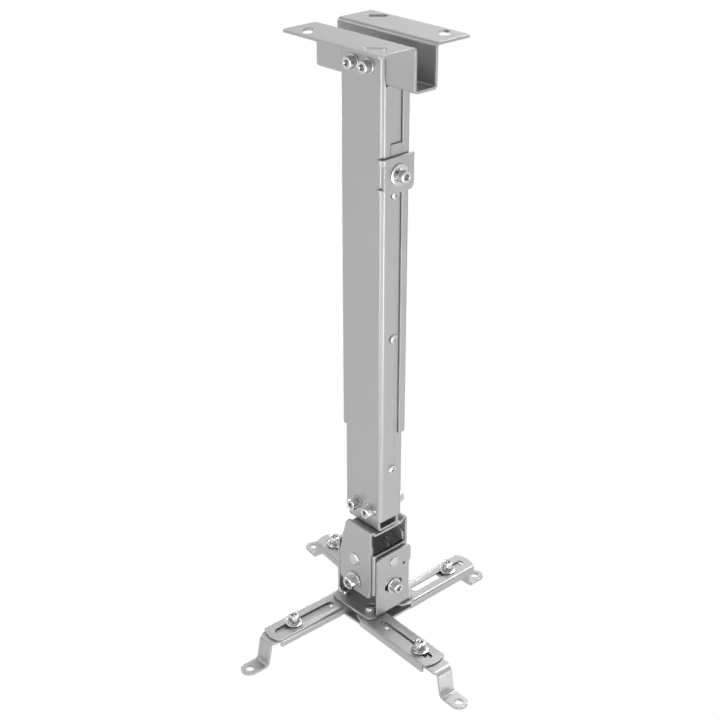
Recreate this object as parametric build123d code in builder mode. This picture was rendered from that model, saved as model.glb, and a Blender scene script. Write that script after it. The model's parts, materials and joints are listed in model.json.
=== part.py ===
from build123d import *
import os
from math import cos, radians, sin

# Projector ceiling mount, in millimetres, hanging from the ceiling plane z = 0.
# X runs along the ceiling channel, Y across it, and the origin is the middle of the ceiling face.
# The pose is a part-extended column with its head level and its arms a little off square.

# Ceiling bracket, one folded hat section
bracket_length = 90.0
channel_width = 20.0
channel_height = 29.0
flange_width = 28.5
bracket_sheet = 2.0
bracket_bend = 1.0
flange_corner = 2.0
screw_slot_x = 30.5
screw_slot_y = 29.5
screw_slot_length = 15.0
screw_slot_width = 6.5
bracket_bolt_x = 7.0
bracket_bolt_depth = 18.0

# Outer column, a folded C with a slot down its right side
outer_width = 40.0
outer_depth = 25.0
outer_length = 253.0
column_sheet = 1.2
column_bend = 1.5
column_slot = 10.5
plate_gap = 2.0

# Inner column, a closed tube that slides in the outer one
slide_clearance = 0.3
inner_showing = 70.0
lift_gap = 1.5
guide_below_clamp = 14.75
guide_pitch = 104.0
guide_count = 3
guide_shank = 4.0
guide_head = 7.0
guide_head_height = 1.7
guide_recess = 3.2
guide_recess_width = 1.0

# Clamp saddle, a plate over the slot with two tabs hooked round the front corner
saddle_sheet = 2.0
saddle_bend = 1.0
saddle_height = 24.5
clamp_below_web = 58.75
saddle_tab_height = 4.5
saddle_tab_reach = 5.5
saddle_front = 12.8
saddle_rear = 13.8
saddle_corner = 4.0
saddle_washer = 15.0

# Slot key, a strip on the inner column that fills the slot behind the saddle
key_above_clamp = 20.25
key_below_clamp = 9.75
key_clearance = 0.25

# Swivel yoke, a U bolted inside the foot of the inner column
yoke_sheet = 2.0
yoke_bend = 1.0
yoke_clearance = 1.5
yoke_drop = 7.5
yoke_rise = 18.0
yoke_bolt_x = 7.5
yoke_bolt_shift = 2.0
yoke_bolt_rise = 7.5

# Swivel stud, a flanged pin through both yokes
stud_shank = 6.0
stud_flange = 10.0
stud_flange_height = 1.5
stud_tail = 6.0

# Roll yoke, an inverted U with raised shoulders and one tapered side
roll_sheet = 2.0
roll_bend = 0.8
roll_half_width = 16.4
roll_half_depth = 19.0
shoulder_height = 3.0
shoulder_foot = 12.7
shoulder_top = 15.2
taper_top = 9.5
taper_height = 29.0
ear_below_pivot = 28.5
ear_cut_width = 9.0
ear_cut_height = 7.0
ear_corner = 3.0
pivot_drop = 26.9
roll_lock_radius = 19.0
roll_swing = 5.0

# Cradle, the folded box between the roll yoke and the base
cradle_sheet = 2.0
cradle_bend = 1.0
cradle_below = 26.0
cradle_above = 9.5
tongue_half_width = 15.5
tongue_radius = 22.0

# Base bracket, a plate with two upright ears
base_sheet = 2.0
base_bend = 0.6
base_half_width = 22.0
base_half_depth = 23.5
base_corner = 5.0
base_drop = 41.5
base_ear_half = 16.2
base_ear_above = 8.0
base_ear_corner = 4.0
bend_relief = 0.6
ear_gap = 1.3
ear_lobe = 1.6
ear_lobe_below = 5.0
ear_lobe_corner = 1.5
ear_hole = 2.4
ear_hole_y = 11.0
ear_hole_below = 6.4
tilt_lock_radius = 21.5
tilt_swing = 15.0

# Pivot rivets of the head
pivot_shank = 6.0
pivot_head_height = 1.2
pivot_tail = 8.0
roll_pivot_head = 10.0
tilt_pivot_head = 8.0

# Bottom plate and the arms, channels that swing on the corner screws
corner_gap = 0.65
corner_edge = 7.5
bottom_plate_margin = 8.25
bottom_plate_sheet = 2.0
bottom_plate_corner = 5.0
arm_width = 22.0
arm_height = 6.0
arm_sheet = 1.5
arm_bend = 0.6
arm_reach = 72.5
arm_end_bulge = 4.0
arm_slot_start = 14.5
arm_slot_inset = 9.0
arm_slot_width = 6.0

# Feet, folded strips that slide along the arms
foot_width = 16.0
foot_corner = 3.0
foot_neck = 13.0
foot_shoulder = 1.5
foot_sheet = 2.0
foot_bend = 2.5
foot_drop = 18.5
foot_slope = 3.5
foot_hole = 6.0
tail_hole = 4.0

# The two styles of foot: riser, foot hole, tail and tail hole, all measured from the foot's bolt
long_riser = 26.5
long_hole = 41.5
long_tail = 42.5
long_tail_hole = 36.5
short_riser = 17.0
short_hole = 32.0
short_tail = 8.0
LONG = {"riser": long_riser, "hole": long_hole, "tail": long_tail, "tail_hole": long_tail_hole}
SHORT = {"riser": short_riser, "hole": short_hole, "tail": short_tail, "tail_hole": 0.0}

# Where each foot's bolt stands, measured back from the end of its arm
front_bolt_inset = 23.0
right_bolt_inset = 17.5
back_bolt_inset = 22.5
left_bolt_inset = 15.0

# Arms: corner of the base, heading in degrees, inset of the foot's bolt and style of foot
ARMS = {
    "front": (-1, -1, -92.2, front_bolt_inset, LONG),
    "right": (1, -1, -2.8, right_bolt_inset, LONG),
    "back": (1, 1, 89.4, back_bolt_inset, SHORT),
    "left": (-1, 1, 171.6, left_bolt_inset, SHORT),
}

# Clearances
running_fit = 0.05
hole_clearance = 0.15
slot_clearance = 0.5
joint_gap = 0.3

# Fasteners: shank, socket head, key, washers and nut of each thread size
M5 = {
    "shank": 5.0,
    "head": 8.5,
    "head_height": 5.0,
    "key": 4.0,
    "washer": 12.5,
    "small_washer": 10.0,
    "washer_height": 1.0,
    "spring": 9.4,
    "spring_height": 1.3,
    "nut": 8.0,
    "nut_height": 4.0,
}
M6 = {
    "shank": 6.0,
    "head": 10.0,
    "head_height": 6.0,
    "key": 5.0,
    "washer": 14.0,
    "washer_height": 1.2,
    "nut": 10.0,
    "nut_height": 5.0,
}
head_chamfer = 0.5
socket_depth_share = 0.6
spring_split = 1.4
bolt_tip = 1.5

# Levels down the mount
web_bottom = -channel_height
outer_bottom = web_bottom - outer_length
inner_bottom = outer_bottom - inner_showing
inner_top = web_bottom - lift_gap
clamp_z = web_bottom - clamp_below_web
yoke_web_top = inner_bottom - yoke_drop
yoke_web_bottom = yoke_web_top - yoke_sheet
roll_web_top = yoke_web_bottom - joint_gap
roll_web_bottom = roll_web_top - roll_sheet
pivot_z = roll_web_top - pivot_drop
base_top = pivot_z - base_drop
base_bottom = base_top - base_sheet
arm_top = base_bottom - joint_gap
arm_bottom = arm_top - arm_height
bottom_plate_top = arm_bottom - joint_gap
bottom_plate_bottom = bottom_plate_top - bottom_plate_sheet
strip_top = arm_top - arm_sheet - joint_gap

# Widths that follow from the fits
inner_width = outer_width - 2 * (column_sheet + slide_clearance)
inner_depth = outer_depth - 2 * (column_sheet + slide_clearance)
saddle_face = outer_width / 2 + joint_gap
saddle_outside = outer_depth / 2 + joint_gap + saddle_sheet
key_width = column_slot - 2 * key_clearance
key_sheet = outer_width / 2 - inner_width / 2
yoke_width = inner_width - 2 * (column_sheet + yoke_clearance)
yoke_half_depth = inner_depth / 2 - column_sheet
cradle_half_depth = roll_half_depth - roll_sheet - joint_gap
cradle_half_width = base_half_width - base_sheet - ear_gap
corner_x = base_half_width - base_sheet - base_bend - M5["head"] / 2 - corner_gap
corner_y = base_half_depth - corner_edge
arm_slot_end = arm_reach - arm_slot_inset

os.makedirs("parts", exist_ok=True)


def save(part, label):
    """Names a finished piece and writes its STEP file."""
    part.label = label
    export_step(part, f"parts/{label}.step")


def facing_y(spots, distance):
    """Seats at (x, z) spots on the front and rear faces that stand at a distance from the XZ plane."""
    return [
        Plane(origin=(x, side * distance, z), x_dir=(1, 0, 0), z_dir=(0, side, 0))
        for side in (-1, 1)
        for x, z in spots
    ]


def facing_x(spots, distance, sides=(-1, 1)):
    """Seats at (y, z) spots on the left and right faces that stand at a distance from the YZ plane."""
    return [
        Plane(origin=(side * distance, y, z), x_dir=(0, 1, 0), z_dir=(side, 0, 0))
        for side in sides
        for y, z in spots
    ]


def raised(seats, height):
    """Seats moved out along their own normals."""
    return [place.offset(height) for place in seats]


def behind(seats, depth):
    """Seats on the far side of a wall of that depth, turned to face the other way."""
    return [
        Plane(origin=place.offset(-depth).origin, x_dir=place.x_dir, z_dir=-place.z_dir) for place in seats
    ]


def cap_screws(label, seats, size, length):
    """Socket cap screws whose heads sit on the seats and whose shanks run back from them."""
    with BuildPart() as screws:
        with BuildSketch(*seats):
            Circle(size["head"] / 2)
        extrude(amount=size["head_height"])
        rims = screws.edges().filter_by(
            lambda rim: any(
                abs(place.to_local_coords(rim.center()).Z - size["head_height"]) < head_chamfer / 5
                for place in seats
            )
        )
        chamfer(rims, length=head_chamfer)
        with BuildSketch(*raised(seats, size["head_height"])):
            RegularPolygon(size["key"] / 2, 6, major_radius=False)
        extrude(amount=-size["head_height"] * socket_depth_share, mode=Mode.SUBTRACT)
        with BuildSketch(*seats):
            Circle(size["shank"] / 2)
        extrude(amount=-length)
    save(screws.part, label)


def rings(label, seats, outside, bolt, height):
    """Flat washers for a bolt on the seats."""
    with BuildPart() as washers:
        with BuildSketch(*seats):
            Circle(outside / 2)
            Circle(bolt / 2 + hole_clearance, mode=Mode.SUBTRACT)
        extrude(amount=height)
    save(washers.part, label)


def spring_rings(label, seats, size):
    """Spring washers on the seats, each cut open at one side."""
    with BuildPart() as washers:
        with BuildSketch(*seats):
            Circle(size["spring"] / 2)
            Circle(size["shank"] / 2 + hole_clearance, mode=Mode.SUBTRACT)
            with Locations((size["spring"] / 2, 0)):
                Rectangle(size["spring"], spring_split, mode=Mode.SUBTRACT)
        extrude(amount=size["spring_height"])
    save(washers.part, label)


def nuts(label, seats, size):
    """Hexagon nuts that stand on the seats."""
    with BuildPart() as hexagons:
        with BuildSketch(*seats):
            RegularPolygon(size["nut"] / 2, 6, major_radius=False)
            Circle(size["shank"] / 2 + hole_clearance, mode=Mode.SUBTRACT)
        extrude(amount=size["nut_height"])
    save(hexagons.part, label)


def rivets(label, seats, head, grip):
    """Pivot rivets: a flat head on the seat, a shank through the grip and a closed tail behind it."""
    with BuildPart() as pivots:
        with BuildSketch(*seats):
            Circle(head / 2)
        extrude(amount=pivot_head_height)
        with BuildSketch(*seats):
            Circle(pivot_shank / 2)
        extrude(amount=-grip)
        with BuildSketch(*raised(seats, -grip)):
            Circle(pivot_tail / 2)
        extrude(amount=-pivot_head_height)
    save(pivots.part, label)


# Ceiling bracket
bracket_spots = [(x, -bracket_bolt_depth) for x in (-bracket_bolt_x, bracket_bolt_x)]
flange_edge = channel_width / 2 + flange_width
with BuildPart() as ceiling_bracket:
    with BuildSketch(Plane.YZ):
        with BuildLine():
            FilletPolyline(
                (0, web_bottom),
                (channel_width / 2, web_bottom),
                (channel_width / 2, -bracket_sheet),
                (flange_edge, -bracket_sheet),
                radius=[bracket_bend + bracket_sheet, bracket_bend],
            )
            offset(amount=bracket_sheet, side=Side.LEFT)
        make_face()
        mirror(about=Plane.YZ)
    extrude(amount=bracket_length / 2, both=True)
    corners = ceiling_bracket.edges().filter_by(Axis.Z)
    fillet(
        corners.filter_by(lambda edge: abs(edge.center().Y) > flange_edge - flange_corner),
        radius=flange_corner,
    )
    for side_x in (-1, 1):
        for side_y in (-1, 1):
            with BuildSketch():
                with Locations((side_x * screw_slot_x, side_y * screw_slot_y)):
                    SlotOverall(screw_slot_length, screw_slot_width, rotation=-45 * side_x * side_y)
            extrude(amount=-bracket_sheet, mode=Mode.SUBTRACT)
    with BuildSketch(Plane.XZ):
        with Locations(*bracket_spots):
            Circle(M5["shank"] / 2 + hole_clearance)
    extrude(amount=channel_width, both=True, mode=Mode.SUBTRACT)
save(ceiling_bracket.part, "ceiling_bracket")

# Outer column: front and rear plates rise beside the channel, the sides stop under it
with BuildPart() as outer_column:
    with BuildSketch(Plane.XY.offset(outer_bottom)):
        with BuildLine():
            FilletPolyline(
                (outer_width / 2, -column_slot / 2),
                (outer_width / 2, -outer_depth / 2),
                (-outer_width / 2, -outer_depth / 2),
                (-outer_width / 2, outer_depth / 2),
                (outer_width / 2, outer_depth / 2),
                (outer_width / 2, column_slot / 2),
                radius=column_bend + column_sheet,
            )
            offset(amount=column_sheet, side=Side.RIGHT)
        make_face()
    extrude(amount=-outer_bottom - bracket_sheet - plate_gap)
    with BuildSketch(Plane.YZ):
        with Locations((0, web_bottom)):
            Rectangle(channel_width, channel_height, align=(Align.CENTER, Align.MIN))
    extrude(amount=outer_width, both=True, mode=Mode.SUBTRACT)
    with BuildSketch(Plane.XZ):
        with Locations(*bracket_spots):
            Circle(M5["shank"] / 2 + hole_clearance)
    extrude(amount=outer_depth, both=True, mode=Mode.SUBTRACT)
save(outer_column.part, "outer_column")

# Bolts that hold the column to the channel: washers outside, nuts inside the channel
bracket_seats = facing_y(bracket_spots, outer_depth / 2)
bracket_wall = outer_depth / 2 - channel_width / 2 + bracket_sheet
bracket_under_head = M5["washer_height"] + bracket_wall + M5["nut_height"]
rings("bracket_washers", bracket_seats, M5["small_washer"], M5["shank"], M5["washer_height"])
cap_screws("bracket_bolts", raised(bracket_seats, M5["washer_height"]), M5, bracket_under_head)
nuts("bracket_nuts", behind(bracket_seats, bracket_wall), M5)

# Inner column
guide_spots = [(0, clamp_z - guide_below_clamp - i * guide_pitch) for i in range(guide_count)]
yoke_spots = [(yoke_bolt_shift + x, inner_bottom + yoke_bolt_rise) for x in (-yoke_bolt_x, yoke_bolt_x)]
with BuildPart() as inner_column:
    with BuildSketch(Plane.XY.offset(inner_bottom)):
        RectangleRounded(inner_width, inner_depth, column_bend + column_sheet)
        RectangleRounded(
            inner_width - 2 * column_sheet,
            inner_depth - 2 * column_sheet,
            column_bend,
            mode=Mode.SUBTRACT,
        )
    extrude(amount=inner_top - inner_bottom)
    with BuildSketch(Plane.YZ):
        with Locations((0, clamp_z)):
            Circle(M5["shank"] / 2 + hole_clearance)
        with Locations(*guide_spots):
            Circle(guide_shank / 2 + hole_clearance)
    extrude(amount=outer_width, mode=Mode.SUBTRACT)
    with BuildSketch(Plane.XZ):
        with Locations(*yoke_spots):
            Circle(M5["shank"] / 2 + hole_clearance)
    extrude(amount=outer_depth, both=True, mode=Mode.SUBTRACT)
save(inner_column.part, "inner_column")

# Guide screws, whose heads run in the outer column's slot
guide_seats = facing_x(guide_spots, inner_width / 2, sides=(1,))
with BuildPart() as guide_screws:
    with BuildSketch(*guide_seats):
        Circle(guide_head / 2)
    extrude(amount=guide_head_height)
    with BuildSketch(*raised(guide_seats, guide_head_height)):
        Rectangle(guide_recess, guide_recess_width)
        Rectangle(guide_recess_width, guide_recess)
    extrude(amount=-guide_head_height / 2, mode=Mode.SUBTRACT)
    with BuildSketch(*guide_seats):
        Circle(guide_shank / 2)
    extrude(amount=-2 * column_sheet)
save(guide_screws.part, "guide_screws")

# Clamp saddle
saddle_outer_face = saddle_face + saddle_sheet
with BuildPart() as clamp_saddle:
    with BuildSketch(Plane.XY.offset(clamp_z - saddle_height / 2)):
        with BuildLine():
            FilletPolyline(
                (saddle_outer_face - saddle_tab_reach, -saddle_outside),
                (saddle_outer_face, -saddle_outside),
                (saddle_outer_face, saddle_rear),
                radius=saddle_bend + saddle_sheet,
            )
            offset(amount=saddle_sheet, side=Side.LEFT)
        make_face()
    extrude(amount=saddle_height)
    with BuildSketch(Plane.YZ):
        with Locations((-saddle_front, clamp_z)):
            Rectangle(
                saddle_outside,
                saddle_height - 2 * saddle_tab_height,
                align=(Align.MAX, Align.CENTER),
            )
        with Locations((0, clamp_z)):
            Circle(M5["shank"] / 2 + hole_clearance)
    extrude(amount=outer_width, mode=Mode.SUBTRACT)
    rear_edges = clamp_saddle.edges().filter_by(Axis.X).group_by(Axis.Y)[-1]
    fillet(rear_edges.sort_by(Axis.Z)[0], radius=saddle_corner)
save(clamp_saddle.part, "clamp_saddle")

# Slot key
with BuildPart() as slot_key:
    with BuildSketch(Plane.YZ.offset(inner_width / 2)):
        with Locations((0, clamp_z + key_above_clamp)):
            Rectangle(key_width, key_above_clamp + key_below_clamp, align=(Align.CENTER, Align.MAX))
        with Locations((0, clamp_z)):
            Circle(M5["shank"] / 2 + hole_clearance, mode=Mode.SUBTRACT)
    extrude(amount=key_sheet)
save(slot_key.part, "slot_key")

# Clamp bolt with its washers, and its nut inside the tube
clamp_seats = facing_x([(0, clamp_z)], saddle_outer_face, sides=(1,))
clamp_spring_seats = raised(clamp_seats, M5["washer_height"])
clamp_head_seats = raised(clamp_spring_seats, M5["spring_height"])
clamp_wall = saddle_outer_face - inner_width / 2 + column_sheet
clamp_under_head = M5["washer_height"] + M5["spring_height"] + clamp_wall + M5["nut_height"] + bolt_tip
rings("clamp_washer", clamp_seats, saddle_washer, M5["shank"], M5["washer_height"])
spring_rings("clamp_spring_washer", clamp_spring_seats, M5)
cap_screws("clamp_bolt", clamp_head_seats, M5, clamp_under_head)
nuts("clamp_nut", behind(clamp_seats, clamp_wall), M5)

# Swivel yoke
with BuildPart() as swivel_yoke:
    with BuildSketch(Plane.YZ):
        with BuildLine():
            FilletPolyline(
                (-yoke_half_depth, inner_bottom + yoke_rise),
                (-yoke_half_depth, yoke_web_bottom),
                (yoke_half_depth, yoke_web_bottom),
                (yoke_half_depth, inner_bottom + yoke_rise),
                radius=yoke_bend + yoke_sheet,
            )
            offset(amount=yoke_sheet, side=Side.LEFT)
        make_face()
    extrude(amount=yoke_width / 2, both=True)
    with BuildSketch(Plane.XZ):
        with Locations(*yoke_spots):
            Circle(M5["shank"] / 2 + hole_clearance)
    extrude(amount=outer_depth, both=True, mode=Mode.SUBTRACT)
    with BuildSketch(Plane.XY.offset(yoke_web_bottom)):
        Circle(stud_shank / 2 + hole_clearance)
    extrude(amount=yoke_sheet, mode=Mode.SUBTRACT)
save(swivel_yoke.part, "swivel_yoke")

# Bolts of the swivel yoke through the foot of the tube
yoke_seats = facing_y(yoke_spots, inner_depth / 2)
yoke_spring_seats = raised(yoke_seats, M5["washer_height"])
yoke_head_seats = raised(yoke_spring_seats, M5["spring_height"])
yoke_wall = column_sheet + yoke_sheet
yoke_under_head = M5["washer_height"] + M5["spring_height"] + yoke_wall + M5["nut_height"]
rings("yoke_washers", yoke_seats, M5["small_washer"], M5["shank"], M5["washer_height"])
spring_rings("yoke_spring_washers", yoke_spring_seats, M5)
cap_screws("yoke_bolts", yoke_head_seats, M5, yoke_under_head)
nuts("yoke_nuts", behind(yoke_seats, yoke_wall), M5)

# Swivel stud with its washer and nut under the roll yoke
swivel_seats = behind([Plane.XY], joint_gap - roll_web_bottom)
swivel_nut_seats = raised(swivel_seats, M6["washer_height"])
stud_bottom = roll_web_bottom - joint_gap - M6["washer_height"] - M6["nut_height"] - bolt_tip
stud_top = yoke_web_top + stud_flange_height + stud_tail
with BuildPart() as swivel_stud:
    with BuildSketch(Plane.XY.offset(stud_bottom)):
        Circle(stud_shank / 2)
    extrude(amount=stud_top - stud_bottom)
    with BuildSketch(Plane.XY.offset(yoke_web_top)):
        Circle(stud_flange / 2)
    extrude(amount=stud_flange_height)
save(swivel_stud.part, "swivel_stud")
rings("swivel_washer", swivel_seats, M6["washer"], M6["shank"], M6["washer_height"])
nuts("swivel_nut", swivel_nut_seats, M6)

# Roll yoke
roll_arc = CenterArc((0, pivot_z), roll_lock_radius, -90 - roll_swing, 2 * roll_swing)
crest_z = roll_web_top + shoulder_height
ear_bottom = pivot_z - ear_below_pivot
with BuildPart() as roll_yoke:
    with BuildSketch(Plane.YZ):
        with BuildLine():
            FilletPolyline(
                (0, roll_web_top),
                (shoulder_foot, roll_web_top),
                (shoulder_top, crest_z),
                (roll_half_depth, crest_z),
                (roll_half_depth, ear_bottom),
                radius=[roll_bend, roll_bend + roll_sheet, roll_bend + roll_sheet],
            )
            offset(amount=roll_sheet, side=Side.RIGHT)
        make_face()
        mirror(about=Plane.YZ)
    extrude(amount=roll_half_width, both=True)
    with BuildSketch(Plane.XZ) as ear_outline:
        with BuildLine():
            Polyline(
                (-taper_top, crest_z),
                (roll_half_width, crest_z),
                (roll_half_width, ear_bottom),
                (ear_cut_width - roll_half_width, ear_bottom),
                (-roll_half_width, ear_bottom + ear_cut_height),
                (-roll_half_width, crest_z - taper_height),
                close=True,
            )
        make_face()
        fillet(ear_outline.vertices().group_by(Axis.X)[-1].sort_by(Axis.Y)[0], radius=ear_corner)
    extrude(amount=roll_half_depth, both=True, mode=Mode.INTERSECT)
    with BuildSketch(Plane.XZ):
        SlotArc(roll_arc, M6["shank"] + 2 * slot_clearance)
        with Locations((0, pivot_z)):
            Circle(pivot_shank / 2 + hole_clearance)
    extrude(amount=roll_half_depth, both=True, mode=Mode.SUBTRACT)
    with BuildSketch(Plane.XY.offset(roll_web_bottom)):
        Circle(stud_shank / 2 + running_fit)
    extrude(amount=roll_sheet, mode=Mode.SUBTRACT)
save(roll_yoke.part, "roll_yoke")

# Roll pivots: rivets held in the roll yoke's ears, running in the cradle
ear_and_cradle = roll_sheet + joint_gap + cradle_sheet
roll_pivot_seats = facing_y([(0, pivot_z)], roll_half_depth)
rivets("roll_rivets", roll_pivot_seats, roll_pivot_head, ear_and_cradle + joint_gap)

# Cradle
roll_lock_z = pivot_z - roll_lock_radius
tilt_lock_z = pivot_z - tilt_lock_radius
with BuildPart() as cradle:
    with BuildSketch(Plane.XY.offset(pivot_z - cradle_below)):
        RectangleRounded(2 * cradle_half_width, 2 * cradle_half_depth, cradle_bend + cradle_sheet)
        RectangleRounded(
            2 * (cradle_half_width - cradle_sheet),
            2 * (cradle_half_depth - cradle_sheet),
            cradle_bend,
            mode=Mode.SUBTRACT,
        )
    extrude(amount=cradle_below + tongue_radius)
    with BuildSketch(Plane.XZ):
        with Locations((0, pivot_z)):
            Circle(tongue_radius)
            Rectangle(2 * tongue_half_width, 2 * tongue_radius, mode=Mode.INTERSECT)
        with Locations((0, pivot_z + cradle_above)):
            Rectangle(
                2 * cradle_half_width,
                cradle_below + cradle_above,
                align=(Align.CENTER, Align.MAX),
            )
    extrude(amount=cradle_half_depth, both=True, mode=Mode.INTERSECT)
    with BuildSketch(Plane.XZ):
        with Locations((0, pivot_z)):
            Circle(pivot_shank / 2 + running_fit)
        with Locations((0, roll_lock_z)):
            Circle(M6["shank"] / 2 + hole_clearance)
    extrude(amount=cradle_half_depth, both=True, mode=Mode.SUBTRACT)
    with BuildSketch(Plane.YZ):
        with Locations((0, pivot_z)):
            Circle(pivot_shank / 2 + running_fit)
        with Locations((0, tilt_lock_z)):
            Circle(M5["shank"] / 2 + hole_clearance)
    extrude(amount=cradle_half_width, both=True, mode=Mode.SUBTRACT)
save(cradle.part, "cradle")

# Lock bolts, whose nuts sit inside the cradle and whose heads clamp the slotted ears
roll_lock_seats = facing_y([(0, roll_lock_z)], roll_half_depth + joint_gap)
roll_lock_wall = joint_gap + ear_and_cradle
roll_under_head = M6["washer_height"] + roll_lock_wall + M6["nut_height"]
rings("roll_lock_washers", roll_lock_seats, M6["washer"], M6["shank"], M6["washer_height"])
cap_screws("roll_lock_bolts", raised(roll_lock_seats, M6["washer_height"]), M6, roll_under_head)
nuts("roll_lock_nuts", behind(roll_lock_seats, roll_lock_wall), M6)
tilt_lock_seats = facing_x([(0, tilt_lock_z)], base_half_width + joint_gap)
tilt_lock_wall = joint_gap + base_sheet + ear_gap + cradle_sheet
tilt_under_head = M5["washer_height"] + tilt_lock_wall + M5["nut_height"]
rings("tilt_lock_washers", tilt_lock_seats, M5["washer"], M5["shank"], M5["washer_height"])
cap_screws("tilt_lock_bolts", raised(tilt_lock_seats, M5["washer_height"]), M5, tilt_under_head)
nuts("tilt_lock_nuts", behind(tilt_lock_seats, tilt_lock_wall), M5)

# Base bracket: a rounded plate with its two ears folded up from it
tilt_arc = CenterArc((0, pivot_z), tilt_lock_radius, -90 - tilt_swing, 2 * tilt_swing)
base_fold = base_bend + base_sheet
base_ear_top = pivot_z + base_ear_above
ear_lobe_bottom = pivot_z - ear_lobe_below
corner_spots = [(x, y) for x in (-corner_x, corner_x) for y in (-corner_y, corner_y)]
with BuildPart() as base_bracket:
    with BuildSketch(Plane.XZ):
        with BuildLine():
            FilletPolyline(
                (-base_half_width, base_ear_top),
                (-base_half_width, base_bottom),
                (base_half_width, base_bottom),
                (base_half_width, base_ear_top),
                radius=base_fold,
            )
            offset(amount=base_sheet, side=Side.LEFT)
        make_face()
    extrude(amount=base_ear_half + ear_lobe, both=True)
    with BuildSketch(Plane.YZ) as side_outline:
        with BuildLine():
            Polyline(
                (-base_ear_half, base_bottom),
                (-base_ear_half, base_ear_top),
                (base_ear_half + ear_lobe, base_ear_top),
                (base_ear_half + ear_lobe, ear_lobe_bottom),
                (base_ear_half, ear_lobe_bottom - ear_lobe),
                (base_ear_half, base_bottom),
                close=True,
            )
        make_face()
        fillet(side_outline.vertices().group_by(Axis.Y)[-1], radius=base_ear_corner)
        fillet(side_outline.vertices().group_by(Axis.X)[-1].sort_by(Axis.Y)[0], radius=ear_lobe_corner)
    extrude(amount=base_half_width, both=True, mode=Mode.INTERSECT)
    with BuildSketch(Plane.XY.offset(base_bottom)):
        RectangleRounded(2 * base_half_width, 2 * base_half_depth, base_corner)
        with Locations((-base_half_width, 0), (base_half_width, 0)):
            Rectangle(2 * base_fold, 2 * (base_ear_half + bend_relief), mode=Mode.SUBTRACT)
    extrude(amount=base_sheet)
    with BuildSketch(Plane.XY.offset(base_bottom)):
        with Locations(*corner_spots):
            Circle(M5["shank"] / 2 + hole_clearance)
    extrude(amount=base_sheet, mode=Mode.SUBTRACT)
    with BuildSketch(Plane.YZ):
        SlotArc(tilt_arc, M5["shank"] + 2 * slot_clearance)
        with Locations((0, pivot_z)):
            Circle(pivot_shank / 2 + hole_clearance)
        with Locations((ear_hole_y, pivot_z - ear_hole_below)):
            Circle(ear_hole / 2)
    extrude(amount=base_half_width, both=True, mode=Mode.SUBTRACT)
save(base_bracket.part, "base_bracket")

# Tilt pivots: rivets held in the base's ears, running in the cradle
tilt_pivot_seats = facing_x([(0, pivot_z)], base_half_width)
tilt_grip = base_sheet + ear_gap + cradle_sheet + joint_gap
rivets("tilt_rivets", tilt_pivot_seats, tilt_pivot_head, tilt_grip)

# Bottom plate under the arms
with BuildPart() as bottom_plate:
    with BuildSketch(Plane.XY.offset(bottom_plate_bottom)):
        RectangleRounded(
            2 * (corner_x + bottom_plate_margin),
            2 * (corner_y + bottom_plate_margin),
            bottom_plate_corner,
        )
        with Locations(*corner_spots):
            Circle(M5["shank"] / 2 + hole_clearance, mode=Mode.SUBTRACT)
    extrude(amount=bottom_plate_sheet)
save(bottom_plate.part, "bottom_plate")

# Corner screws, the pivots of the arms
corner_seats = [Plane(origin=(x, y, base_top)) for x, y in corner_spots]
corner_wall = base_top - bottom_plate_bottom
cap_screws("corner_screws", corner_seats, M5, corner_wall + M5["nut_height"] + bolt_tip)
nuts("corner_nuts", behind(corner_seats, corner_wall), M5)


def arm(name):
    """One arm: a channel with its flanges down, a long slot, and a round end with the pivot's hole."""
    side_x, side_y, heading = ARMS[name][:3]
    pivot = (side_x * corner_x, side_y * corner_y, arm_top)
    along = (cos(radians(heading)), sin(radians(heading)), 0)
    across = (-sin(radians(heading)), cos(radians(heading)), 0)
    plan = Plane(origin=pivot, x_dir=along, z_dir=(0, 0, 1))
    half = arm_width / 2
    section = Plane(origin=pivot, x_dir=across, z_dir=along)
    shoulder = arm_reach - arm_end_bulge
    with BuildPart() as channel:
        with BuildSketch(section):
            with BuildLine():
                FilletPolyline(
                    (-half, -arm_height),
                    (-half, 0),
                    (half, 0),
                    (half, -arm_height),
                    radius=arm_bend + arm_sheet,
                )
                offset(amount=arm_sheet, side=Side.RIGHT)
            make_face()
        extrude(amount=arm_reach)
        with BuildSketch(plan):
            with BuildLine():
                Line((0, half), (shoulder, half))
                ThreePointArc((shoulder, half), (arm_reach, 0), (shoulder, -half))
                Line((shoulder, -half), (0, -half))
                Line((0, -half), (0, half))
            make_face()
        extrude(amount=-arm_height, mode=Mode.INTERSECT)
        with BuildSketch(plan):
            Circle(half - arm_bend)
        extrude(amount=-arm_sheet)
        with BuildSketch(plan):
            Circle(M5["shank"] / 2 + running_fit)
            with Locations(((arm_slot_start + arm_slot_end) / 2, 0)):
                SlotCenterToCenter(arm_slot_end - arm_slot_start, arm_slot_width)
        extrude(amount=-arm_sheet, mode=Mode.SUBTRACT)
    save(channel.part, f"{name}_arm")


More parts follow.
